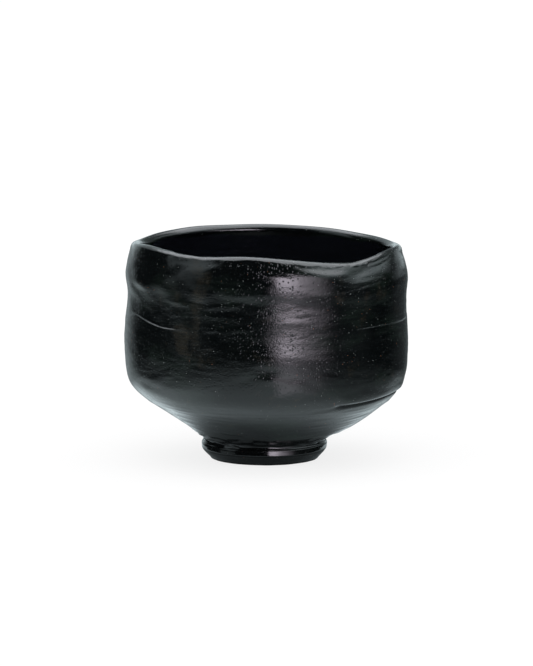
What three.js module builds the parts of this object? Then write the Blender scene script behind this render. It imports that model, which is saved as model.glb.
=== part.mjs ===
// Matcha bowl: a hand-formed clay bowl on a luted foot ring, coated with black glaze.
// Millimetres, +Z up. The origin is on the resting face, under the middle of the bowl's box.
//
// Every piece is first turned as a true round form. One shared function, handFormed, then pushes
// all of them out of round alike, so pieces that lie on each other keep the same spacing all round.
import * as THREE from 'three';

// ---- Driving dimensions ----
const RIM_HEIGHT = 90.6;          // top of the lip, before its waves
const LIP_CREST_RADIUS = 54.1;
const LIP_THICKNESS = 4.8;
const LIP_ROUNDING = 3.4;         // height of the lip's rounded top
const SHOULDER_RADIUS = 58.6;
const SHOULDER_HEIGHT = 78;
const WAIST_RADIUS = 58.3;        // slight narrowing between belly and shoulder
const WAIST_HEIGHT = 68;
const BELLY_RADIUS = 58.95;       // largest radius
const BELLY_HEIGHT = 46;
const HIP_RADIUS = 50.9;          // upper end of the straight cone
const HIP_HEIGHT = 25.2;
const CONE_EDGE_RADIUS = 31.5;    // lower end of the cone, over the foot channel
const CONE_EDGE_HEIGHT = 12;

const INNER_WALL_RADIUS = 53.2;
const POOL_RADIUS = 13.5;         // tea pool in the middle of the floor
const POOL_HEIGHT = 14.2;
const FLOOR_UNDERSIDE = 7.9;      // flat cut under the clay of the floor

const FOOT_BULGE_RADIUS = 26.1;
const FOOT_BULGE_HEIGHT = 6.2;
const FOOT_ROUNDING = 5;          // how far the lower edge of the foot rounds in
const FOOT_NECK_RADIUS = 25.5;
const FOOT_NECK_HEIGHT = 8.1;
const PAD_OUTER_RADIUS = 22.2;    // bare bearing face
const PAD_INNER_RADIUS = 18.8;
const WELL_RADIUS = 16.7;         // recess inside the foot ring
const WELL_CEILING = 6.8;
const SLIP_THICKNESS = 0.6;

const OUTER_GLAZE = 0.7;
const INNER_GLAZE = 0.6;
const FOOT_GLAZE = 0.8;
const WELL_GLAZE = 0.6;
const GLAZE_STOP = 0.45;          // height of the lowest glaze over the table
const GAP = 0.3;                  // clearance between pieces that touch

const SEGMENTS = 40;              // facets round the bowl

// ---- How the hands left it ----
// Waves of the lip: where, in degrees round the bowl; rise in millimetres; spread in degrees.
const LIP_WAVES = [
  { angle: 20, rise: -1.9, spread: 40 },
  { angle: 90, rise: 0.35, spread: 30 },
  { angle: 125, rise: 0.5, spread: 12 },
  { angle: 163, rise: -0.9, spread: 20 },
  { angle: 208, rise: 1.3, spread: 20 },
  { angle: 245, rise: -0.4, spread: 8 },
  { angle: 259, rise: 0.4, spread: 12 },
  { angle: 304, rise: -3.1, spread: 22 },
  { angle: 342, rise: 1.1, spread: 12 },
];
const WAVES_END = 58;             // the waves fade out down the wall to this height
const PINCH = { angle: 180, depth: 0.7, spread: 40, reach: 9 };   // deeper waist on one side
const FOOT_OFFSET = -0.8;         // the foot sits off centre along X,
const FOOT_TOP = 7;
const CONE_OFFSET = 1.9;          // and the cone is fuller on the other side
const CONE_OFFSET_HEIGHT = 15.5;
const CENTRED_HEIGHT = 34;

const { degToRad, radToDeg, euclideanModulo, lerp, smoothstep } = THREE.MathUtils;

// A bump of height 1 round the bowl, centred on an angle; both angles and spread in degrees.
function bump(angle, centre, spread) {
  const away = euclideanModulo(angle - centre + 180, 360) - 180;
  return Math.exp(-((away / spread) ** 2));
}

// Rise of the lip over its nominal height.
function lipWave(angle) {
  return LIP_WAVES.reduce((sum, wave) => sum + wave.rise * bump(angle, wave.angle, wave.spread), 0);
}

// Sideways offset, along X, of the round section at a height.
function sideOffset(height) {
  const towardsCone = smoothstep(height, FOOT_TOP, CONE_OFFSET_HEIGHT);
  const towardsCentre = smoothstep(height, CONE_OFFSET_HEIGHT, CENTRED_HEIGHT);
  return lerp(lerp(FOOT_OFFSET, CONE_OFFSET, towardsCone), 0, towardsCentre);
}

// How far the waist is pressed in at a height and angle.
function pinchDepth(height, angle) {
  const band = Math.exp(-(((height - WAIST_HEIGHT) / PINCH.reach) ** 2));
  return PINCH.depth * band * bump(angle, PINCH.angle, PINCH.spread);
}

// Moves a point of the true round form to its place on the hand-formed bowl.
function handFormed(point) {
  const height = point.z;
  const angle = radToDeg(Math.atan2(point.y, point.x));
  const radius = Math.hypot(point.x, point.y);
  const scale = 1 - pinchDepth(height, angle) / Math.max(radius, POOL_RADIUS);
  point.x = point.x * scale + sideOffset(height);
  point.y *= scale;
  point.z += lipWave(angle) * smoothstep(height, WAVES_END, RIM_HEIGHT);
  return point;
}

// ---- Outlines, as (radius, height) points from which the pieces are turned ----
function at(radius, height) {
  return new THREE.Vector2(radius, height);
}

function arc(centre, halfWidth, halfHeight, fromDegrees, toDegrees, divisions) {
  const curve = new THREE.EllipseCurve(
    centre.x, centre.y, halfWidth, halfHeight, degToRad(fromDegrees), degToRad(toDegrees));
  return curve.getPoints(divisions);
}

// Moves an open outline to its own left by a distance.
function moveLeft(outline, distance) {
  return outline.map((point, i) => {
    const before = outline[Math.max(i - 1, 0)];
    const after = outline[Math.min(i + 1, outline.length - 1)];
    const along = after.clone().sub(before).normalize();
    return at(point.x - along.y * distance, point.y + along.x * distance);
  });
}

// Outer face of the bowl, from the cone's lower edge up and over the lip to its inner side.
const lipArc = arc(
  at(LIP_CREST_RADIUS, RIM_HEIGHT - LIP_ROUNDING), LIP_THICKNESS / 2, LIP_ROUNDING, 12, 180, 6);
const outsideFace = [
  at(CONE_EDGE_RADIUS, CONE_EDGE_HEIGHT),
  at(0.5 * (CONE_EDGE_RADIUS + HIP_RADIUS), 0.5 * (CONE_EDGE_HEIGHT + HIP_HEIGHT)),
  ...new THREE.SplineCurve([
    at(HIP_RADIUS, HIP_HEIGHT),
    at(57.2, 33),
    at(BELLY_RADIUS, BELLY_HEIGHT),
    at(WAIST_RADIUS, WAIST_HEIGHT),
    at(SHOULDER_RADIUS, SHOULDER_HEIGHT),
    lipArc[0],
  ]).getPoints(10),
  ...lipArc.slice(1),
];

// Inner face of the bowl, from under the lip down to the middle of the tea pool.
const insideFace = [
  ...new THREE.SplineCurve([
    at(lipArc.at(-1).x + 0.05, lipArc.at(-1).y - 2 * GAP),
    at(52.8, 76),
    at(INNER_WALL_RADIUS, 60),
    at(51.8, 43),
    at(45, 32.3),
    at(30, 22.8),
    at(18.5, 17.4),
    at(POOL_RADIUS, POOL_HEIGHT + 0.8),
  ]).getPoints(10),
  at(POOL_RADIUS - 5, POOL_HEIGHT),
  at(0, POOL_HEIGHT),
];

// Outer face of the foot, from where its glaze stops up through the channel to the cone.
const roundingCentre = at(FOOT_BULGE_RADIUS - FOOT_ROUNDING, FOOT_BULGE_HEIGHT);
const stopAngle = radToDeg(Math.asin(GLAZE_STOP / FOOT_BULGE_HEIGHT - 1));
const footFace = [
  ...arc(roundingCentre, FOOT_ROUNDING, FOOT_BULGE_HEIGHT, stopAngle, 0, 4),
  at(25.9, 7.2),
  at(FOOT_NECK_RADIUS, FOOT_NECK_HEIGHT),
  at(26.2, 9.1),
  at(28.2, 10.3),
  at(CONE_EDGE_RADIUS - 0.4, CONE_EDGE_HEIGHT - 0.25),
];

// Face of the recess under the bowl, from the middle of its ceiling out and down the ring.
const wellFace = [
  at(0, WELL_CEILING),
  at(WELL_RADIUS - 1.2, WELL_CEILING),
  at(WELL_RADIUS, WELL_CEILING - 1.3),
  at(WELL_RADIUS + 0.3, 2.2),
  at(WELL_RADIUS + 1, GLAZE_STOP),
];

// ---- Closed sections ----
// A coat of glaze: its face, and the back that lies on the clay.
function coatSection(face, thickness) {
  return [...face, ...moveLeft(face, thickness).reverse(), face[0].clone()];
}

function claySection() {
  const channel = moveLeft(footFace, FOOT_GLAZE + GAP).slice(0, -1).filter((p) => p.y > FLOOR_UNDERSIDE);
  return [
    at(0, FLOOR_UNDERSIDE),
    at(channel[0].x, FLOOR_UNDERSIDE),
    ...channel,
    ...moveLeft(outsideFace, OUTER_GLAZE + GAP),
    ...moveLeft(insideFace, INNER_GLAZE + GAP),
  ];
}

function footRingSection() {
  const top = FLOOR_UNDERSIDE - SLIP_THICKNESS - 2 * GAP;
  const outerSide = moveLeft(footFace, FOOT_GLAZE + GAP).filter((p) => p.y < top);
  const innerSide = moveLeft(wellFace, WELL_GLAZE + GAP).filter((p) => p.y < top);
  return [
    at(PAD_INNER_RADIUS, 0),
    at(PAD_OUTER_RADIUS, 0),
    at(PAD_OUTER_RADIUS + 0.3, 2 * GLAZE_STOP),
    ...outerSide,
    at(outerSide.at(-1).x, top),
    at(innerSide[0].x, top),
    ...innerSide,
    at(PAD_INNER_RADIUS, 0),
  ];
}

function slipSection() {
  const inner = WELL_RADIUS + WELL_GLAZE + 2 * GAP;
  const outer = FOOT_NECK_RADIUS - FOOT_GLAZE - GAP;
  const top = FLOOR_UNDERSIDE - GAP;
  const bottom = top - SLIP_THICKNESS;
  return [at(inner, bottom), at(outer, bottom), at(outer, top), at(inner, top), at(inner, bottom)];
}

// ---- Pieces ----
function turned(name, section, colour, roughness) {
  const geometry = new THREE.LatheGeometry(section, SEGMENTS);
  geometry.rotateX(Math.PI / 2);
  const position = geometry.getAttribute('position');
  const point = new THREE.Vector3();
  for (let i = 0; i < position.count; i += 1) {
    handFormed(point.fromBufferAttribute(position, i));
    position.setXYZ(i, point.x, point.y, point.z);
  }
  geometry.computeVertexNormals();
  const material = new THREE.MeshStandardMaterial({ color: colour, roughness, metalness: 0 });
  const mesh = new THREE.Mesh(geometry, material);
  mesh.name = name;
  return mesh;
}

const bowl = new THREE.Group();
bowl.add(
  turned('clay_body', claySection(), 0x8c7a68, 0.9),
  turned('foot_ring', footRingSection(), 0x85715f, 0.9),
  turned('foot_joint_slip', slipSection(), 0x9a8974, 0.9),
  turned('outer_glaze', coatSection(outsideFace, OUTER_GLAZE), 0x0f1413, 0.3),
  turned('inner_glaze', coatSection(insideFace, INNER_GLAZE), 0x0a0c0e, 0.25),
  turned('foot_glaze', coatSection(footFace, FOOT_GLAZE), 0x0b0e0e, 0.15),
  turned('foot_well_glaze', coatSection(wellFace, WELL_GLAZE), 0x111413, 0.35),
);

// The origin lies under the middle of the bowl's box.
const middle = new THREE.Box3().setFromObject(bowl).getCenter(new THREE.Vector3());
bowl.position.set(-middle.x, -middle.y, 0);

export default bowl;
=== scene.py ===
import math

import bpy
import numpy as np
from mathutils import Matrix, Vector


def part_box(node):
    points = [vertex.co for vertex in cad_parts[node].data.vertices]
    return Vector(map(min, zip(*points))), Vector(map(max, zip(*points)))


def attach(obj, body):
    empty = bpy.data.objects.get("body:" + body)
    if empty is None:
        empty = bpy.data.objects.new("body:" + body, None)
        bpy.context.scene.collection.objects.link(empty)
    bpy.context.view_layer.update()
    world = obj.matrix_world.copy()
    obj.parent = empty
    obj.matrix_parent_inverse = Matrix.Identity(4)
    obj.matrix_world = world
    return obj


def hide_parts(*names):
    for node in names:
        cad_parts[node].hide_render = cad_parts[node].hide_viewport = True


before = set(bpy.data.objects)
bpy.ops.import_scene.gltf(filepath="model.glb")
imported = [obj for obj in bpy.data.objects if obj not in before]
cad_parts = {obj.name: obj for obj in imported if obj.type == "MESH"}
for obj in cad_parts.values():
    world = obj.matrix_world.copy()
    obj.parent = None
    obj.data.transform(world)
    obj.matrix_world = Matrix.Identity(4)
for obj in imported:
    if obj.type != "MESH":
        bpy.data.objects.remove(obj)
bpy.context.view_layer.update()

# ---- Sizes ----
# Shapes are in the bowl's own millimetres. MM turns them into the frame's metres.
BELLY_RADIUS = 58.95
belly_low, belly_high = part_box("outer_glaze")
MM = (belly_high.y - belly_low.y) / 2 / BELLY_RADIUS

RIM_HEIGHT = 90.6
LIP_CREST_RADIUS = 54.1
LIP_THICKNESS = 4.8
LIP_ROUNDING = 3.4      # drop of the lip's outer quarter
INNER_ROUNDING = 2.5    # drop of the lip's inner quarter
SHOULDER_RADIUS = 58.6
SHOULDER_HEIGHT = 78
WAIST_RADIUS = 58.3
WAIST_HEIGHT = 68
BELLY_HEIGHT = 46
HIP_RADIUS = 50.9
HIP_HEIGHT = 25.2
CONE_EDGE_RADIUS = 31.5
CONE_EDGE_HEIGHT = 12
INNER_WALL_RADIUS = 53.2
POOL_RADIUS = 13.5
POOL_HEIGHT = 14.2
FOOT_BULGE_RADIUS = 26.1
FOOT_BULGE_HEIGHT = 6.2
FOOT_NECK_RADIUS = 25.5
FOOT_NECK_HEIGHT = 8.1
PAD_OUTER_RADIUS = 22.2
PAD_INNER_RADIUS = 18.8
WELL_RADIUS = 16.7
WELL_CEILING = 6.8
GLAZE_STOP = 0.45
OUTER_GLAZE = 0.7
INNER_GLAZE = 0.6
FOOT_GLAZE = 0.8
WELL_GLAZE = 0.6
GAP = 0.3

# Waves of the lip: degrees round the bowl, rise, and spread in degrees.
LIP_WAVES = [
    (20, -1.9, 40), (90, 0.35, 30), (125, 0.5, 12), (163, -0.9, 20), (208, 1.3, 20),
    (245, -0.4, 8), (259, 0.4, 12), (304, -3.1, 22), (342, 1.1, 12),
]
WAVES_END = 58
PINCH_ANGLE, PINCH_DEPTH, PINCH_SPREAD, PINCH_REACH = 180, 0.7, 40, 9
FOOT_OFFSET, FOOT_TOP = -0.8, 7
CONE_OFFSET, CONE_OFFSET_HEIGHT, CENTRED_HEIGHT = 1.9, 15.5, 34

ROUNDS = 360            # facets round a piece


# ---- Curves and waves ----
def lerp(a, b, t):
    return a + (b - a) * t


def smooth(value, low, high):
    t = np.clip((value - low) / (high - low), 0, 1)
    return t * t * (3 - 2 * t)


def bump(angle, centre, spread):
    away = (angle - centre + 180) % 360 - 180
    return np.exp(-(away / spread) ** 2)


def band(value, low, high, soft):
    """1 between low and high, fading to 0 over a soft distance outside them."""
    return smooth(value, low - soft, low) * (1 - smooth(value, high, high + soft))


def arc_band(angle, start, end, soft):
    """band() round the bowl, where end may run past 360."""
    middle, half = (start + end) / 2, (end - start) / 2
    away = np.abs((angle - middle + 180) % 360 - 180)
    return 1 - smooth(away, half, half + soft)


def waves(angle, height, seed, turns, length, count=14):
    """Seeded smooth waves over a round face, about 1 high. turns: how many go round the
    bowl, lowest and highest. length: their spacing down the face, shortest and longest."""
    rng = np.random.default_rng(seed)
    total = np.zeros(np.broadcast(angle, height).shape)
    for _ in range(count):
        round_rate = rng.integers(turns[0], turns[1] + 1) * rng.choice([-1, 1])
        down_rate = 2 * math.pi / rng.uniform(*length)
        phase = rng.uniform(0, 2 * math.pi)
        total += np.sin(np.radians(angle) * round_rate + height * down_rate + phase)
    return total / math.sqrt(count / 2)


def spline(points, count=240):
    """A smooth curve through the points, as count + 1 points."""
    points = np.array(points, float)
    last = len(points) - 1
    t = np.linspace(0, last, count + 1)
    i = np.minimum(t.astype(int), last - 1)
    u = (t - i)[:, None]
    before, start, end, after = (points[np.clip(i + k, 0, last)] for k in (-1, 0, 1, 2))
    leave, arrive = (end - before) / 2, (after - start) / 2
    return (
        (2 * (start - end) + leave + arrive) * u ** 3
        + (3 * (end - start) - 2 * leave - arrive) * u ** 2 + leave * u + start
    )


def ellipse_arc(centre, half_width, half_height, from_degrees, to_degrees, count=20):
    turn = np.radians(np.linspace(from_degrees, to_degrees, count + 1))
    return np.stack([
        centre[0] + half_width * np.cos(turn), centre[1] + half_height * np.sin(turn)], 1)


def evenly(outline, spacing, crowding=None):
    """The outline with its points evenly spaced along it. crowding(radius, height) gives how
    many times closer they are at a place."""
    steps = np.hypot(*np.diff(outline, axis=0).T)
    if crowding:
        steps = steps * crowding(*outline[1:].T)
    along = np.concatenate([[0], np.cumsum(steps)])
    keep = np.concatenate([[True], steps > 1e-9])
    count = max(2, round(along[-1] / spacing))
    at = np.linspace(0, along[-1], count + 1)
    return np.stack([np.interp(at, along[keep], outline[keep, k]) for k in (0, 1)], 1)


def outward(outline):
    """Directions square to the outline, on its right, which is the outside of every face."""
    along = np.gradient(outline, axis=0)
    along /= np.hypot(*along.T)[:, None]
    return np.stack([along[:, 1], -along[:, 0]], 1)


def sunk(outline, depth):
    return outline - outward(outline) * np.broadcast_to(depth, len(outline))[:, None]


def mound(height, middle, half_width):
    """1 at that height, falling to nothing within about two half-widths of it."""
    return np.exp(-((height - middle) / half_width) ** 2)


# ---- The hand-formed shape ----
def lip_wave(angle):
    return sum(rise * bump(angle, centre, spread) for centre, rise, spread in LIP_WAVES)


def side_offset(height):
    cone = smooth(height, FOOT_TOP, CONE_OFFSET_HEIGHT)
    centred = smooth(height, CONE_OFFSET_HEIGHT, CENTRED_HEIGHT)
    return lerp(lerp(FOOT_OFFSET, CONE_OFFSET, cone), 0, centred)


def hand_formed(radius, height, angle):
    """Points of the true round form moved to their places on the bowl, in metres."""
    pinch = PINCH_DEPTH * mound(height, WAIST_HEIGHT, PINCH_REACH)
    pinch = pinch * bump(angle, PINCH_ANGLE, PINCH_SPREAD)
    scale = 1 - pinch / np.maximum(radius, POOL_RADIUS)
    turn = np.radians(angle)
    x = radius * scale * np.cos(turn) + side_offset(height)
    y = radius * scale * np.sin(turn)
    z = height + lip_wave(angle) * smooth(height, WAVES_END, RIM_HEIGHT)
    return np.stack([x, y, z], -1) * MM


# ---- Relief, in millimetres outward from the face ----
# An arc is a start, an end and a fade in degrees round the bowl, whose front is at 270.
FRONT = 270
WALL_STARTS, WALL_ENDS = (20, 34), (80, 88)
CONE_ENDS, LIP_STARTS = (24, 30), (82, 87)

# The joint between two bands of clay. It shows at the left and the right.
JOINT_HEIGHT, JOINT_RISE, JOINT_WANDER = 60.2, 3.1, 0.25
JOINT_RISES, JOINT_FALLS = (150, 185), (196, 232)
JOINT_LEFT, JOINT_RIGHT, JOINT_FRONT = (203, 229, 11), (314, 366, 20), (236, 262, 8)
# How far up the step takes: where it is sharp, more at the left, and more where it is soft.
LEDGE_LENGTH, LEDGE_LENGTH_LEFT, LEDGE_SOFTNESS = 0.6, 0.25, 7.7
# Its depth all round, then what is added at the left, right and front, and its reach above.
LEDGE_DEPTH, LEDGE_LEFT, LEDGE_RIGHT, LEDGE_FRONT = 0.05, 0.56, 0.12, 0.09
LEDGE_REACH = 14

GROOVE_ARC, GROOVE_HEIGHT = (306, 356, 7), 28.3
GROOVE_LIFT, GROOVE_LIFT_ANGLE, GROOVE_LIFT_SPREAD = 1.3, 345, 22
GROOVE_DEPTH, GROOVE_HALF_WIDTH = 0.85, 0.75
OVERHANG, OVERHANG_START, OVERHANG_PEAK, OVERHANG_END = 0.42, -0.1, 0.9, 6

FINGER_STROKES = [          # height, arc, and how far the stroke swings up and down
    (61.4, (247, 258, 9), 0.5), (66.2, (232, 246, 9), -0.7), (71.0, (228, 256, 9), 0.8),
]
STROKE_RISE, STROKE_HALF_WIDTH, STROKE_SWINGS = 0.095, 0.95, 7
TRIM_DROP, TRIM_BASE = 5, 0.15
TRIM_RIGHT, TRIM_RIGHT_ARC = 0.7, (296, 335, 12)
TRIM_LEFT, TRIM_LEFT_ARC = 0.4, (212, 246, 12)

SHOULDER_RISE, SHOULDER_ARC = 0.6, (240, 298, 12)
SHOULDER_STARTS, SHOULDER_ENDS = (77.5, 85), (85.2, 89.6)
SWELLINGS = [               # rise, arc, height and half-width of the swellings at the front
    (0.36, (234, 300, 14), 65.5, 6.2), (0.12, (262, 300, 12), 49, 4),
]
LEANS = [(0.8, (316, 342, 16)), (0.35, (229, 240, 5))]      # depth and arc
LEAN_STARTS = (81, 89)
DENT_ARC, DENT_BAND = (198, 246, 10), (72, 87, 4)
RIDGE_HEIGHT, RIDGE_HALF_WIDTH, RIDGE_ARC = 89.35, 0.45, (222, 330, 16)


def overhang(height, groove):
    """The swelling that ends in the groove: it grows downwards, then stops sharply."""
    peak = groove + OVERHANG_PEAK
    return smooth(height, groove + OVERHANG_START, peak) * (
        1 - smooth(height, peak, groove + OVERHANG_END))


def outer_relief(angle, height, radius):
    """What the hands, the brush and the spatula left on the outside."""
    level = 0 * angle       # waves at this height only go round the bowl
    wall = smooth(height, *WALL_STARTS) * (1 - smooth(height, *WALL_ENDS))
    cone = 1 - smooth(height, *CONE_ENDS)
    lip = smooth(height, *LIP_STARTS)

    # Slow waves, then blotches of shorter ones, brushing and a fine skin.
    relief = 0.05 * waves(angle, height, 3, (1, 4), (26, 60)) * wall
    relief += 0.022 * waves(angle, height, 4, (2, 7), (9, 20)) * wall
    blotches = np.clip(waves(angle, height, 16, (3, 11), (12, 34)), 0, 2)
    relief += 0.034 * waves(angle, height, 13, (7, 26), (6, 15), 30) * wall * (
        0.15 + 0.5 * blotches)
    relief += 0.022 * waves(angle, height, 5, (3, 16), (3.2, 8)) * wall * (
        0.3 + 0.7 * np.clip(waves(angle, height, 6, (2, 7), (20, 50)), 0, 2))
    relief += 0.005 * waves(angle, height, 7, (8, 60), (1.4, 3.2), 40) * wall

    # At the joint the wall steps back, then swells out again higher up.
    joint = JOINT_HEIGHT + JOINT_RISE * smooth(angle, *JOINT_RISES) * (
        1 - smooth(angle, *JOINT_FALLS))
    joint = joint + JOINT_WANDER * waves(angle, level, 8, (3, 9), (20, 50))
    left = arc_band(angle, *JOINT_LEFT)
    right = arc_band(angle, *JOINT_RIGHT)
    length = LEDGE_LENGTH + LEDGE_LENGTH_LEFT * left
    length = length + LEDGE_SOFTNESS * (1 - np.maximum(left, right))
    depth = LEDGE_DEPTH + LEDGE_LEFT * left + LEDGE_RIGHT * right
    depth = depth + LEDGE_FRONT * arc_band(angle, *JOINT_FRONT) * (1 - left)
    step = smooth(height, joint - length / 2, joint + length / 2)
    relief -= depth * step * (1 - smooth(height, joint, joint + LEDGE_REACH))

    # A spatula pressed a level groove into the right of the hip.
    groove = GROOVE_HEIGHT + GROOVE_LIFT * bump(angle, GROOVE_LIFT_ANGLE, GROOVE_LIFT_SPREAD)
    pressed = arc_band(angle, *GROOVE_ARC)
    relief -= GROOVE_DEPTH * pressed * mound(height, groove, GROOVE_HALF_WIDTH)
    relief += OVERHANG * pressed * overhang(height, groove)

    # Finger strokes on the front left of the wall.
    for middle, arc, swing in FINGER_STROKES:
        stroke = middle + swing * np.sin(np.radians(angle * STROKE_SWINGS))
        relief += STROKE_RISE * arc_band(angle, *arc) * mound(height, stroke, STROKE_HALF_WIDTH)

    # Trimming strokes cross the cone, lowest at the front.
    slant = height - TRIM_DROP * (1 - np.cos(np.radians(angle - FRONT)))
    trimmed = TRIM_BASE + TRIM_RIGHT * arc_band(angle, *TRIM_RIGHT_ARC)
    trimmed = trimmed + TRIM_LEFT * arc_band(angle, *TRIM_LEFT_ARC)
    relief += 0.05 * waves(angle, slant, 9, (1, 6), (1.2, 3.4)) * cone * trimmed
    relief += 0.06 * waves(angle, height, 10, (2, 6), (9, 24)) * cone

    # The shoulder is full at the front, and leans in at the front right and in a left dent.
    full = SHOULDER_RISE * arc_band(angle, *SHOULDER_ARC)
    relief += full * smooth(height, *SHOULDER_STARTS) * (1 - smooth(height, *SHOULDER_ENDS))
    for rise, arc, middle, half_width in SWELLINGS:
        relief += rise * arc_band(angle, *arc) * mound(height, middle, half_width)
    for lean, arc in LEANS:
        relief -= lean * arc_band(angle, *arc) * smooth(height, *LEAN_STARTS)
    dented = arc_band(angle, *DENT_ARC) * band(height, *DENT_BAND)
    relief += 0.07 * waves(angle, height, 15, (6, 22), (7, 18)) * dented

    # The lip is uneven, with a rough second ridge under its crest at the front.
    relief += 0.05 * waves(angle, height, 11, (3, 12), (5, 14)) * lip
    ridge = RIDGE_HEIGHT + 0.2 * waves(angle, level, 12, (7, 40), (20, 50), 24)
    rough = 0.14 + 0.05 * waves(angle, height, 14, (20, 90), (1.5, 5), 24)
    relief += rough * arc_band(angle, *RIDGE_ARC) * mound(height, ridge, RIDGE_HALF_WIDTH)
    return relief


def inner_relief(angle, height, radius):
    near_axis = smooth(radius, 2, 16)
    relief = 0.08 * waves(angle, height, 21, (1, 4), (22, 50)) * near_axis
    return relief + 0.02 * waves(angle, height, 22, (4, 12), (5, 12)) * near_axis


FOOT_FULL_ARC, FOOT_FULL_HEIGHT, FOOT_FULL_RISE = (235, 305, 40), 4.4, 0.3
CHANNEL_STARTS = (7.6, 8.6)
ROLL_HEIGHT, ROLL_RISE, ROLL_HALF_WIDTH = 9.7, 0.22, 0.45     # the rolled edge over the channel


def foot_relief(angle, height, radius):
    """The foot is full at the front, and its channel is uneven under a rolled edge."""
    relief = 0.04 * waves(angle, height, 31, (2, 6), (8, 20))
    relief += FOOT_FULL_RISE * arc_band(angle, *FOOT_FULL_ARC) * mound(
        height, FOOT_FULL_HEIGHT, 1)
    relief += 0.015 * waves(angle, height, 32, (8, 26), (3, 7))
    channel = smooth(height, *CHANNEL_STARTS)
    relief += 0.12 * channel * waves(angle, height, 33, (6, 20), (1.6, 4))
    roll = ROLL_HEIGHT + 0.25 * waves(angle, 0 * angle, 34, (3, 12), (20, 50))
    return relief + ROLL_RISE * mound(height, roll, ROLL_HALF_WIDTH)


def well_relief(angle, height, radius):
    return 0.12 * waves(angle, radius, 41, (1, 5), (6, 16)) * smooth(radius, 1, 6)


def pad_relief(angle, height, radius):
    """The bare clay is pitted, never raised, so that the bowl stands level."""
    return np.minimum(0.05 * waves(angle, height + radius, 51, (20, 60), (1, 3)), 0)


# ---- Outlines ----
# Each is a line of (radius, height) points, with the open air on its right.
LIP_START_ANGLE = 12    # degrees above level, where the shoulder runs into the lip

lip_centre = (LIP_CREST_RADIUS, RIM_HEIGHT - LIP_ROUNDING)
inner_centre = (LIP_CREST_RADIUS, RIM_HEIGHT - INNER_ROUNDING)
lip_arc = np.concatenate([
    ellipse_arc(lip_centre, LIP_THICKNESS / 2, LIP_ROUNDING, LIP_START_ANGLE, 90),
    ellipse_arc(inner_centre, LIP_THICKNESS / 2, INNER_ROUNDING, 90, 180)[1:],
])
hip = spline([
    (HIP_RADIUS, HIP_HEIGHT), (57.2, 33), (BELLY_RADIUS, BELLY_HEIGHT),
    (WAIST_RADIUS, WAIST_HEIGHT), (SHOULDER_RADIUS, SHOULDER_HEIGHT), lip_arc[0],
])
inside = spline([
    (lip_arc[-1][0] + 0.05, lip_arc[-1][1] - 2 * GAP), (52.8, 76), (INNER_WALL_RADIUS, 60),
    (51.8, 43), (45, 32.3), (30, 22.8), (18.5, 17.4), (POOL_RADIUS, POOL_HEIGHT + 0.8),
    (POOL_RADIUS - 5, POOL_HEIGHT), (0, POOL_HEIGHT),
])
# The bowl's whole skin, from the cone's lower edge over the lip to the middle of the pool.
skin = np.concatenate([[(CONE_EDGE_RADIUS, CONE_EDGE_HEIGHT)], hip, lip_arc[1:], inside])

# Up the foot's face, in over its neck, and out along the channel to the cone's edge.
foot_face = spline([
    (22.5, 0.1), (23.0, 0.8), (24.1, 1.9), (25.2, 3.1), (25.95, 4.2), (26.1, 5.2),
    (FOOT_BULGE_RADIUS, FOOT_BULGE_HEIGHT + 0.3), (25.75, 7.1),
    (FOOT_NECK_RADIUS, FOOT_NECK_HEIGHT), (26.2, 9.1), (28.2, 10.3),
    (CONE_EDGE_RADIUS + 0.2, CONE_EDGE_HEIGHT + 0.4),
])
well_face = np.array([
    (0, WELL_CEILING), (WELL_RADIUS - 2.2, WELL_CEILING), (WELL_RADIUS - 0.9, WELL_CEILING - 0.2),
    (WELL_RADIUS - 0.2, WELL_CEILING - 0.8), (WELL_RADIUS, WELL_CEILING - 1.6),
    (WELL_RADIUS + 0.3, 2.2), (WELL_RADIUS + 1, GLAZE_STOP),
])
# The bare bearing ring, closed inside the foot by two points at RING_TOP.
RING_TOP = 7.0
pad_face = np.array([
    (WELL_RADIUS + 1.7, RING_TOP), (WELL_RADIUS + 1.0, 2.4), (WELL_RADIUS + 1.75, 0.7),
    (PAD_INNER_RADIUS, 0.12), (PAD_INNER_RADIUS + 0.3, 0), (PAD_OUTER_RADIUS - 0.3, 0),
    (PAD_OUTER_RADIUS, 0.12), (PAD_OUTER_RADIUS + 0.4, 0.9), (FOOT_BULGE_RADIUS - 1.9, 3.4),
    (FOOT_BULGE_RADIUS - 1.2, 6.2), (FOOT_BULGE_RADIUS - 1.6, RING_TOP),
])
pad_back = np.array([(FOOT_BULGE_RADIUS - 3, RING_TOP), (WELL_RADIUS + 3, RING_TOP)])


# ---- Building a piece ----
ON_AXIS = 1e-6          # a radius under this is a single point on the axis
SHARP_ANGLE = 50        # degrees between facets that meet in a sharp edge


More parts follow.
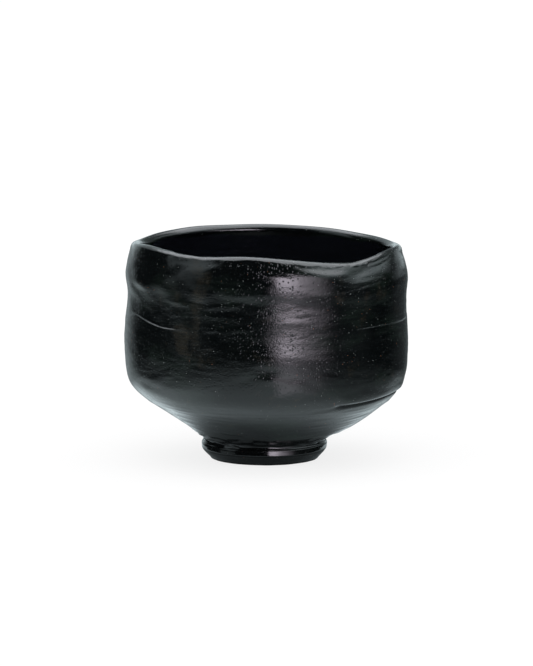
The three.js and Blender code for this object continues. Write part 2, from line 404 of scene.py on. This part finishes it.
def build(name, face, back, relief, node, material):
    """A closed round shell: its face with relief on it, then its plain back, joined."""
    angle = np.arange(ROUNDS) * 360 / ROUNDS
    direction = outward(face)
    raised = relief(angle[None, :], face[:, 1:], face[:, :1])
    radius = face[:, :1] + direction[:, :1] * raised
    level = face[:, 1:] + direction[:, 1:] * raised
    radius = np.concatenate([radius, np.repeat(back[:, :1], ROUNDS, 1)])
    level = np.concatenate([level, np.repeat(back[:, 1:], ROUNDS, 1)])
    places = hand_formed(radius, level, angle[None, :])
    outline = np.concatenate([face, back])
    points, rows = [], []
    for row, (middle, _) in enumerate(outline):
        start = len(points)
        if middle < ON_AXIS:
            points.append(places[row].mean(0))
            rows.append(np.full(ROUNDS, start))
        else:
            points.extend(places[row])
            rows.append(np.arange(start, start + ROUNDS))
    faces = []
    for low, high in zip(rows, rows[1:] + rows[:1]):
        corners = np.stack([low, np.roll(low, -1), np.roll(high, -1), high], 1)
        if low[0] == low[1] and high[0] == high[1]:
            continue
        if low[0] == low[1]:
            corners = corners[:, 1:]
        elif high[0] == high[1]:
            corners = corners[:, :3]
        faces.extend(corners.tolist())
    mesh = bpy.data.meshes.new(name)
    mesh.from_pydata(np.array(points).tolist(), [], faces)
    mesh.shade_smooth()
    mesh.set_sharp_from_angle(angle=math.radians(SHARP_ANGLE))
    mesh.materials.append(material)
    piece = bpy.data.objects.new(name, mesh)
    bpy.context.scene.collection.objects.link(piece)
    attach(piece, "root")
    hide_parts(node)
    return piece


# ---- Shader nodes ----
class Graph:
    """Short calls for building a node tree."""

    def __init__(self, tree):
        self.tree = tree
        tree.nodes.clear()

    def node(self, kind, inputs=None, **settings):
        made = self.tree.nodes.new(kind)
        for key, value in settings.items():
            setattr(made, key, value)
        for key, value in (inputs or {}).items():
            self.set(made.inputs[key], value)
        return made

    def set(self, socket, value):
        if isinstance(value, bpy.types.NodeSocket):
            self.tree.links.new(value, socket)
        elif socket.type == "RGBA" and not hasattr(value, "__len__"):
            socket.default_value = (value, value, value, 1)
        elif socket.type == "RGBA":
            socket.default_value = (*value[:3], 1)
        else:
            socket.default_value = value

    def math(self, operation, a, b):
        return self.node("ShaderNodeMath", {0: a, 1: b}, operation=operation).outputs[0]

    def add(self, a, b):
        return self.math("ADD", a, b)

    def times(self, a, b):
        return self.math("MULTIPLY", a, b)

    def ramp(self, value, low, high, start=0.0, end=1.0):
        """Goes smoothly from start to end as value goes from low to high."""
        made = self.node("ShaderNodeMapRange", {
            "Value": value, "From Min": low, "From Max": high, "To Min": start, "To Max": end,
        }, interpolation_type="SMOOTHSTEP")
        return made.outputs[0]

    def window(self, value, low, high, soft):
        rising = self.ramp(value, low - soft, low)
        return self.times(rising, self.ramp(value, high, high + soft, 1, 0))

    def mix(self, factor, a, b):
        made = self.node("ShaderNodeMix", data_type="RGBA")
        self.set(made.inputs[0], factor)
        self.set(made.inputs[6], a)
        self.set(made.inputs[7], b)
        return made.outputs[2]

    def vector(self, operation, a, b):
        made = self.node("ShaderNodeVectorMath", {0: a}, operation=operation)
        self.set(made.inputs[3 if operation == "SCALE" else 1], b)
        return made.outputs[0]

    def noise(self, place, detail=3.0, roughness=0.55):
        made = self.node("ShaderNodeTexNoise", {
            "Vector": place, "Scale": 1.0, "Detail": detail, "Roughness": roughness})
        return made.outputs[0]

    def cells(self, place):
        return self.node("ShaderNodeTexVoronoi", {"Vector": place, "Scale": 1.0})

    def channels(self, cells):
        """Three random numbers of each cell, from 0 to 1."""
        return self.node("ShaderNodeSeparateColor", {0: cells.outputs["Color"]}).outputs

    def length(self, place):
        made = self.node("ShaderNodeVectorMath", {0: place}, operation="LENGTH")
        return made.outputs["Value"]

    def away(self, place, centre, across=1, down=1):
        """How far a place is from a centre, 1 being that far across or down."""
        offset = self.vector("SUBTRACT", place, centre)
        return self.length(self.vector("MULTIPLY", offset, (1 / across, 1 / across, 1 / down)))

    def millimetres(self):
        """Where a point is on the bowl, in millimetres."""
        place = self.node("ShaderNodeTexCoord").outputs["Object"]
        return self.vector("SCALE", place, 1 / MM)

    def raised(self, height, depth):
        """Normals of a relief of that height, in units of depth millimetres."""
        made = self.node("ShaderNodeBump", {
            "Strength": 1.0, "Distance": depth * MM, "Height": height})
        return made.outputs[0]

    def end(self, kind, shader):
        """The tree's output, fed by that shader."""
        out = self.node(kind)
        self.tree.links.new(shader.outputs[0], out.inputs[0])


def new_material(name):
    """A material and the graph that fills it."""
    material = bpy.data.materials.new(name)
    material.use_nodes = True
    return material, Graph(material.node_tree)


# ---- Glaze ----
# The size of each pattern of marks across and down, in millimetres, and a shift that keeps
# it apart from the others.
PATCHES, BRUSHING, FINE_BRUSHING = (26, 13, 0), (15, 1.5, 7.3), (5, 0.7, 3.1)
BREAKS, CROWDING = (11, 13, 17.7), (14, 14, 2.2)
PINHOLES, FLECKS = (1.05, 1.05, 5.5), (0.66, 0.66, 11.1)
GRAIN, PEEL = (0.6, 0.6, 9.9), (3.0, 1.9, 1.9)

# A place on the bowl in millimetres, and how far it reaches across and down.
BROWN_PLACE = (-30, -49, 67), 11, 26    # the largest brown break
DARK_PLACE = (-13, -56, 52), 22, 9      # a plain black stretch low on the front
PITTED_PLACE = (4, -57, 66), 24, 40     # the most pitted stretch of the front
# Where the light specks crowd, by the soft light's reflection on the front, they are partly
# painted glints.
SPECK_AND_GLINT_PLACE = (-9, -57, 73), 15, 24     # where the light specks are thickest
SPECK_SIDE = (34, -47, 62)              # the middle of the side that has more of them
SPECK_SIDE_ENDS = (18, 46)              # millimetres from that middle, where they thin out
ROUGH_WALL = (48, 74, 9)                # lowest, highest and the fade, of the grainy wall

# How high each pattern stands or how deep it sinks, as a share of the coat's relief.
FINE_RISE, BRUSHING_RISE, PEEL_RISE = 0.10, 0.2, 0.55
GRAIN_RISE_SMOOTH, GRAIN_RISE_ROUGH = 0.1, 0.75
PINHOLE_DEPTH, PINHOLE_DEPTH_PITTED = -0.48, -0.84
PINHOLE_BOTTOM, PINHOLE_EDGE = 0.06, 0.40       # radii, as a share of the spacing
# Light specks: the grey and white ones are partly the glaze's own specks and partly painted
# glints; the rust ones are the glaze's own.
FLECK_SMALLEST, FLECK_LARGEST = 0.06, 0.20
FLECK_GREY, FLECK_AND_GLINT_WHITE, FLECK_RUST = (0.05, 0.055, 0.055), (0.30, 0.33, 0.32), (0.26, 0.11, 0.06)
GLAZE_IOR = 1.5


def marks(g, place, across, down, shift):
    """Coordinates for marks of that size across and down, in millimetres."""
    scaled = g.vector("MULTIPLY", place, (1 / across, 1 / across, 1 / down))
    return g.vector("ADD", scaled, (shift, shift, shift))


def brushed_colour(g, place, brushing, fine, black, tint, brown):
    """Black under patches of brushed tint, with brown breaks. Also gives the breaks."""
    patches = g.ramp(g.noise(marks(g, place, *PATCHES), 4), 0.45, 0.68)
    near_brown = g.ramp(g.away(place, *BROWN_PLACE), 0.3, 1.2, 0.18, 0.0)
    breaks = g.add(g.noise(marks(g, place, *BREAKS), 4, 0.62), near_brown)
    breaks = g.ramp(breaks, 0.59, 0.74)
    amount = g.times(patches, g.ramp(brushing, 0.32, 0.62, 0.25, 1.0))
    amount = g.times(amount, g.ramp(g.away(place, *DARK_PLACE), 0.6, 1.2, 0.1, 1.0))
    colour = g.mix(amount, black, tint)
    return g.mix(g.times(breaks, g.ramp(fine, 0.35, 0.6, 0.1, 0.9)), colour, brown), breaks


def pinholes(g, place, crowd):
    """1 in the bottom of each pinhole."""
    pin = g.cells(marks(g, place, *PINHOLES))
    here = g.ramp(g.add(g.channels(pin)[0], g.times(crowd, 0.3)), 0.66, 0.70)
    return g.times(g.ramp(pin.outputs["Distance"], PINHOLE_BOTTOM, PINHOLE_EDGE, 1, 0), here)


def flecks_and_glints(g, place, crowd):
    """The colour of the light specks, partly the glaze's own and partly painted glints, and 1
    where there is one.
    """
    fleck = g.cells(marks(g, place, *FLECKS))
    chance, shade, size = g.channels(fleck)
    off_centre = g.ramp(g.away(place, *SPECK_AND_GLINT_PLACE), 0.3, 1.2)
    to_the_side = g.ramp(g.away(place, SPECK_SIDE), *SPECK_SIDE_ENDS, 0.09, 0.0)
    thick = g.add(g.times(g.math("SUBTRACT", 1.0, off_centre), 0.30), to_the_side)
    here = g.ramp(g.add(g.add(chance, g.times(crowd, 0.12)), thick), 0.95, 0.96)
    radius = g.ramp(size, 0, 1, FLECK_SMALLEST, FLECK_LARGEST)
    shape = g.math("LESS_THAN", fleck.outputs["Distance"], radius)
    grey = g.mix(g.ramp(shade, 0.2, 0.9), FLECK_GREY, FLECK_AND_GLINT_WHITE)
    return g.mix(g.math("GREATER_THAN", shade, 0.9), grey, FLECK_RUST), g.times(shape, here)


def glaze_height(g, place, brushing, fine, crowd):
    """The height of the glaze's fine relief, from brushing, grain, peel and pinholes."""
    level = g.node("ShaderNodeSeparateXYZ", {0: place}).outputs[2]
    rough_wall = g.times(g.window(level, *ROUGH_WALL), g.ramp(crowd, 0.1, 0.7, 0.5, 1.0))
    grain = g.times(g.noise(marks(g, place, *GRAIN), 2, 0.6),
                    g.ramp(rough_wall, 0, 1, GRAIN_RISE_SMOOTH, GRAIN_RISE_ROUGH))
    peel = g.times(g.noise(marks(g, place, *PEEL), 3, 0.6), PEEL_RISE)
    height = g.add(g.times(fine, FINE_RISE), g.times(brushing, BRUSHING_RISE))
    height = g.add(height, g.add(grain, peel))
    pitted = g.ramp(g.away(place, *PITTED_PLACE), 0.4, 1.1, PINHOLE_DEPTH_PITTED, PINHOLE_DEPTH)
    return g.add(height, g.times(pinholes(g, place, crowd), pitted))


def glaze(name, black, tint, brown, rough, depth, specks=1.0):
    """Black glaze: broken black and green-grey brushing, brown breaks, pinholes, and specks that
    are partly painted glints.
    depth is the height of its relief, in millimetres. specks is how strongly they show."""
    material, g = new_material(name)
    place = g.millimetres()
    brushing = g.noise(marks(g, place, *BRUSHING), 4, 0.6)
    fine = g.noise(marks(g, place, *FINE_BRUSHING), 3, 0.6)
    crowd = g.ramp(g.noise(marks(g, place, *CROWDING), 2), 0.35, 0.7)

    colour, breaks = brushed_colour(g, place, brushing, fine, black, tint, brown)
    # Light specks over the glaze's colour: partly its own, partly painted glints.
    fleck_and_glint_colour, fleck_and_glint_mask = flecks_and_glints(g, place, crowd)
    colour = g.mix(g.times(fleck_and_glint_mask, specks), colour, fleck_and_glint_colour)
    roughness = g.add(g.add(g.ramp(brushing, 0.3, 0.7, -0.04, 0.06), rough), g.times(breaks, 0.1))
    roughness = g.add(roughness, g.ramp(fine, 0.3, 0.7, -0.03, 0.04))
    normal = g.raised(glaze_height(g, place, brushing, fine, crowd), depth)
    g.end("ShaderNodeOutputMaterial", g.node("ShaderNodeBsdfPrincipled", {
        "Base Color": colour, "Roughness": roughness, "IOR": GLAZE_IOR, "Normal": normal}))
    return material


# ---- Clay ----
CLOUDS, GRIT, SAND = 0.25, 1.6, 3.0     # marks to a millimetre
GRIT_COLOUR = (0.05, 0.035, 0.025)
CLAY_RELIEF = 0.25


def clay(name, light, dark):
    """Bare gritty clay."""
    material, g = new_material(name)
    place = g.millimetres()
    cloud = g.noise(g.vector("SCALE", place, CLOUDS), 4)
    grit = g.cells(g.vector("SCALE", place, GRIT))
    sand = g.noise(g.vector("SCALE", place, SAND), 3, 0.65)
    colour = g.mix(g.ramp(cloud, 0.35, 0.65), dark, light)
    grains = g.times(g.ramp(g.channels(grit)[0], 0.6, 1.0), 0.45)
    colour = g.mix(grains, colour, GRIT_COLOUR)
    height = g.add(g.times(sand, 0.6), g.times(grit.outputs["Distance"], -0.5))
    g.end("ShaderNodeOutputMaterial", g.node("ShaderNodeBsdfPrincipled", {
        "Base Color": colour, "Roughness": g.ramp(sand, 0.3, 0.7, 0.78, 0.96),
        "Normal": g.raised(height, CLAY_RELIEF)}))
    return material


# ---- The pieces ----
SINK = 0.12             # how deep a coat's edge dives under its neighbour
OVERLAP = 3             # rows that the two coats share at the seam
# Between rows of points, on the bowl's skin, the foot, the well and the bearing ring.
SPACING, FOOT_SPACING, WELL_SPACING, PAD_SPACING = 0.465, 0.22, 0.4, 0.3
BACK_SPACING = 6 * SPACING
CROWDED_HEIGHT, CROWDED_HALF_WIDTH, CROWDED = 61.5, 2.6, 1.2


def joint_rows(radius, height):
    """The rows of points crowd over the joint, on the outside, where the ledge is fine."""
    outside = radius > INNER_WALL_RADIUS + 2
    return 1 + CROWDED * mound(height, CROWDED_HEIGHT, CROWDED_HALF_WIDTH) * outside


def seam_row(outline):
    """Index of the first point that falls to the coats' seam, inside the lip."""
    top = int(np.argmax(outline[:, 1]))
    falling = np.nonzero(outline[top:, 1] < lip_centre[1] - GAP)[0]
    return top + falling[0]


def back_of(face, thickness):
    """The plain back of a coat, coarser than its face, running the other way."""
    back = sunk(evenly(face, BACK_SPACING), thickness)[::-1]
    back[:, 0] = np.maximum(back[:, 0], 0)
    return back


skin = evenly(skin, SPACING, joint_rows)
seam = seam_row(skin)
outer_face = skin[:seam + OVERLAP]
inner_face = skin[seam - OVERLAP:]
inner_face[-1] = (0, POOL_HEIGHT)
row = np.arange(len(outer_face))
outer_face = sunk(outer_face, SINK * smooth(row, seam - OVERLAP, seam + OVERLAP - 1))
row = np.arange(len(inner_face))
inner_face = sunk(inner_face, SINK * (1 - smooth(row, 0, 2 * OVERLAP)))
inner_face[-1] = (0, POOL_HEIGHT)
foot_face = evenly(foot_face, FOOT_SPACING)
well_face = evenly(well_face, WELL_SPACING)
pad_face = evenly(pad_face, PAD_SPACING)

inner_back = back_of(inner_face, INNER_GLAZE)
inner_back[0] = (0, POOL_HEIGHT - INNER_GLAZE)
well_back = back_of(well_face, WELL_GLAZE)
well_back[-1] = (0, WELL_CEILING + WELL_GLAZE)

outer_glaze = glaze(
    "black_glaze", black=(0.0012, 0.0018, 0.0020), tint=(0.0048, 0.0084, 0.0065),
    brown=(0.0105, 0.0086, 0.0052), rough=0.12, depth=0.11)
# The inside's glaze is a lighter, bluer copy of the black glaze: its lift and blue are a painted
# bluish sheen.
inner_glaze = glaze(
    "inner_black_glaze", black=(0.0034, 0.0042, 0.0062), tint=(0.0050, 0.0062, 0.0086),
    brown=(0.003, 0.0025, 0.002), rough=0.14, depth=0.03, specks=0.0)
foot_glaze = glaze(
    "foot_black_glaze", black=(0.0012, 0.0015, 0.0017), tint=(0.0030, 0.0042, 0.0042),
    brown=(0.004, 0.003, 0.002), rough=0.1, depth=0.03, specks=0.3)
foot_clay = clay("foot_clay", light=(0.235, 0.175, 0.125), dark=(0.115, 0.082, 0.058))
body_clay = clay("body_clay", light=(0.26, 0.195, 0.14), dark=(0.15, 0.11, 0.08))
slip_clay = clay("slip_clay", light=(0.32, 0.25, 0.18), dark=(0.2, 0.155, 0.11))

build("glaze_outside", outer_face, back_of(outer_face, OUTER_GLAZE), outer_relief,
      "outer_glaze", outer_glaze)
build("glaze_inside", inner_face, inner_back, inner_relief,
      "inner_glaze", inner_glaze)
build("glaze_foot", foot_face, back_of(foot_face, FOOT_GLAZE), foot_relief,
      "foot_glaze", foot_glaze)
build("glaze_foot_well", well_face, well_back, well_relief,
      "foot_well_glaze", foot_glaze)
build("foot_ring_clay", pad_face, pad_back, pad_relief,
      "foot_ring", foot_clay)

# The two hidden pieces keep their CAD meshes.
for node, material in (("clay_body", body_clay), ("foot_joint_slip", slip_clay)):
    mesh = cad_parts[node].data
    mesh.materials.clear()
    mesh.materials.append(material)


# ---- Stage: floor, in metres ----
FLOOR_RADIUS, FLOOR_HEIGHT = 60.0, -0.0002
FLOOR_GREYS = (0.23, 0.23, 0.23), (0.25, 0.25, 0.25)
FLOOR_GLOW = 0.8
# The painted shade sheet: a glow darkened towards the foot, a painted contact shadow in the
# glaze's reflections.
SHADE_RADIUS, SHADE_HEIGHT = 0.05, -0.0001
SHADE_STARTS, SHADE_ENDS = 0.027, 0.048     # from the middle of the foot
SHADE_DARK, SHADE_LIGHT = 0.13, 0.95
SHADE_COLOUR = (0.86, 1.0, 1.05)
DISC_CORNERS = 96


def stage_disc(name, radius, height, material):
    """A flat round sheet, part of the stage."""
    turn = np.radians(np.arange(DISC_CORNERS) * 360 / DISC_CORNERS)
    rim = np.stack([np.cos(turn) * radius, np.sin(turn) * radius, 0 * turn + height], 1)
    mesh = bpy.data.meshes.new(name)
    mesh.from_pydata(rim.tolist(), [], [list(range(DISC_CORNERS))])
    mesh.materials.append(material)
    sheet = bpy.data.objects.new(name, mesh)
    bpy.context.scene.collection.objects.link(sheet)
    return sheet


def floor_material():
    """Pale grey, lit from within so that the floor shows almost white."""
    material, g = new_material("pale_floor")
    place = g.node("ShaderNodeTexCoord").outputs["Object"]
    cloud = g.noise(g.vector("SCALE", place, 3.0), 3)
    g.end("ShaderNodeOutputMaterial", g.node("ShaderNodeBsdfPrincipled", {
        "Base Color": g.mix(g.ramp(cloud, 0.3, 0.7), *FLOOR_GREYS), "Roughness": 0.9,
        "Specular IOR Level": 0.0, "Emission Color": (1, 1, 1), "Emission Strength": FLOOR_GLOW}))
    return material


def shade_material():
    """A glow that darkens towards the foot: a painted bright floor with a painted contact shadow.
    """
    material, g = new_material("foot_shade")
    reach = g.length(g.node("ShaderNodeTexCoord").outputs["Object"])
    glow = g.ramp(reach, SHADE_STARTS, SHADE_ENDS, SHADE_DARK, SHADE_LIGHT)
    g.end("ShaderNodeOutputMaterial", g.node("ShaderNodeEmission", {0: SHADE_COLOUR, 1: glow}))
    material.cycles.emission_sampling = "NONE"
    return material


floor = stage_disc("floor", FLOOR_RADIUS, FLOOR_HEIGHT, floor_material())
floor.visible_glossy = False

# A painted shade under the foot, as the glaze sees it: a glowing sheet with a painted contact
# shadow. Only glossy rays meet it.
shade = stage_disc("foot_shade", SHADE_RADIUS, SHADE_HEIGHT, shade_material())
shade.visible_camera = False
shade.visible_diffuse = False
shade.visible_shadow = False
shade.visible_transmission = False

# ---- Stage: the studio ----
# Camera and diffuse rays meet plain white; glossy rays meet what a glossy pot sees: a bright
# table that dims towards the horizon, a dark room in front, a white backdrop behind, a light
# overhead to the right, a soft light at the front right and a dim screen on the left.
# East, north and up go from -1 to 1. A bearing is 0 at the front, which is south, and grows
# to the right.
DEGREE = math.radians(1)
SCREEN_BEARINGS = (-84 * DEGREE, -56 * DEGREE, 0.07)        # start, end and fade
SIDE_BEARINGS, SIDE_LIGHT = (62 * DEGREE, 88 * DEGREE, 0.15), 0.05
SOFT_LIGHT_STARTS = (6 * DEGREE, 12 * DEGREE)
SOFT_LIGHT_FADES = (19 * DEGREE, 33 * DEGREE), (16 * DEGREE, 62 * DEGREE)
SOFT_LIGHT_COLOUR = (1.04, 0.95, 1.08)
ROOM_TINT = (0.86, 1.0, 1.04)
OVERHEAD_COLOUR = (3.9, 4.1, 4.3)
DIFFUSE_WHITE, CAMERA_WHITE = (1.02, 1.02, 1.03), (1.04, 1.04, 1.04)


def ahead(g, east, up, bearing):
    """How bright the front is: the table, the screen, the right side and a weak side light."""
    table = g.add(g.ramp(up, -0.39, -0.165, 0.68, 0.02), g.ramp(up, -0.7, -0.3, 0.25, 0.0))
    table = g.times(table, g.ramp(east, 0.3, 0.9, 1.0, 0.35))
    low_west = g.times(g.ramp(east, -0.9, -0.4, 0.5, 0.0), g.ramp(up, -0.5, -0.38, 1.0, 0.0))
    table = g.times(table, g.add(low_west, 1.0))
    screen = g.times(g.window(bearing, *SCREEN_BEARINGS), g.window(up, -0.02, 1.2, 0.03))
    front = g.add(table, g.times(screen, g.ramp(up, 0.0, 0.7, 0.33, 1.0)))
    front = g.add(front, g.times(g.ramp(east, 0.5, 0.85, 0.0, 1.8), g.ramp(up, 0.14, 0.46)))
    return g.add(front, g.times(g.window(bearing, *SIDE_BEARINGS), SIDE_LIGHT))


def behind(g, east, up):
    """How bright the back is: the backdrop, dimmer to the right, over the far table."""
    low_back = g.ramp(east, -0.6, 0.6, 0.48, 0.06)
    high_back = g.times(g.ramp(up, 0.04, 0.26, 1.0, 0.0), g.ramp(east, 0.3, 0.6, 1.0, 0.45))
    high_back = g.math("MAXIMUM", high_back, g.ramp(east, -0.2, 0.1, 0.65, 0.18))
    back = g.math("MAXIMUM", g.times(g.ramp(up, -0.10, 0.03), high_back), low_back)
    low_table = g.times(g.ramp(up, -0.45, -0.15, 1.0, 0.0), g.ramp(east, -0.2, 0.4, 1.45, 0.9))
    return g.math("MAXIMUM", back, low_table)


def is_behind(g, east, north, up):
    """1 where the back is seen, 0 where the front is."""
    behind_line = g.add(north, g.ramp(up, 0.25, 0.6, 0.0, 0.6))
    narrow = g.times(g.ramp(up, -0.32, -0.12), g.ramp(east, -0.5, -0.2, -0.15, 0.0))
    return g.ramp(g.add(behind_line, narrow), 0.5, 0.8)


def is_overhead(g, east, north, up):
    """1 where the overhead light is seen. It leans to the back and to the right."""
    over = g.add(up, g.times(g.math("MINIMUM", north, 0.0), 0.35))
    over = g.add(over, g.times(g.times(east, 0.35), g.ramp(north, -0.4, 0.5, 1.0, 0.0)))
    return g.ramp(over, 0.54, 0.80)


def soft_light(g, up, bearing):
    """How bright the soft light at the front right is. It brightens up to its top edge."""
    near, far = SOFT_LIGHT_FADES
    fade = g.add(g.ramp(bearing, *near, 0.40, 0.0), g.ramp(bearing, *far, 0.60, 0.0))
    card = g.times(g.ramp(bearing, *SOFT_LIGHT_STARTS), fade)
    card = g.times(card, g.times(g.ramp(up, -0.75, -0.55), g.ramp(up, 0.23, 0.32, 1.0, 0.0)))
    return g.times(card, g.ramp(up, -0.16, 0.05, 1.2, 7.8))


def studio(g):
    """The colour that each kind of ray meets."""
    seen = g.node("ShaderNodeTexCoord").outputs["Generated"]
    east, north, up = g.node("ShaderNodeSeparateXYZ", {0: seen}).outputs
    bearing = g.math("ARCTAN2", east, g.times(north, -1.0))
    room = g.mix(is_behind(g, east, north, up), ahead(g, east, up, bearing), behind(g, east, up))
    room = g.vector("MULTIPLY", room, ROOM_TINT)
    room = g.mix(is_overhead(g, east, north, up), room, OVERHEAD_COLOUR)
    card = g.vector("SCALE", SOFT_LIGHT_COLOUR, soft_light(g, up, bearing))
    room = g.vector("ADD", room, card)
    path = g.node("ShaderNodeLightPath").outputs
    plain = g.mix(path["Is Camera Ray"], DIFFUSE_WHITE, CAMERA_WHITE)
    return g.mix(path["Is Glossy Ray"], plain, room)


world = bpy.data.worlds.new("studio")
bpy.context.scene.world = world
world.use_nodes = True
world.cycles.sampling_method = "NONE"
g = Graph(world.node_tree)
g.end("ShaderNodeOutputWorld", g.node("ShaderNodeBackground", {0: studio(g), 1: 1.0}))

# ---- Camera, in metres ----
LENS, SENSOR_WIDTH = 249.8, 36              # in millimetres, as cameras have them
CAMERA_PLACE = (0.0001, -1.9, 0.335)
CAMERA_AIM = (0.0001, 0, 0.0520)

camera_data = bpy.data.cameras.new("camera")
camera_data.lens = LENS
camera_data.sensor_width = SENSOR_WIDTH
camera = bpy.data.objects.new("camera", camera_data)
bpy.context.scene.collection.objects.link(camera)
camera.location = CAMERA_PLACE
camera.rotation_euler = (Vector(CAMERA_AIM) - camera.location).to_track_quat("-Z", "Y").to_euler()
bpy.context.scene.camera = camera
bpy.context.scene.view_settings.view_transform = "Standard"
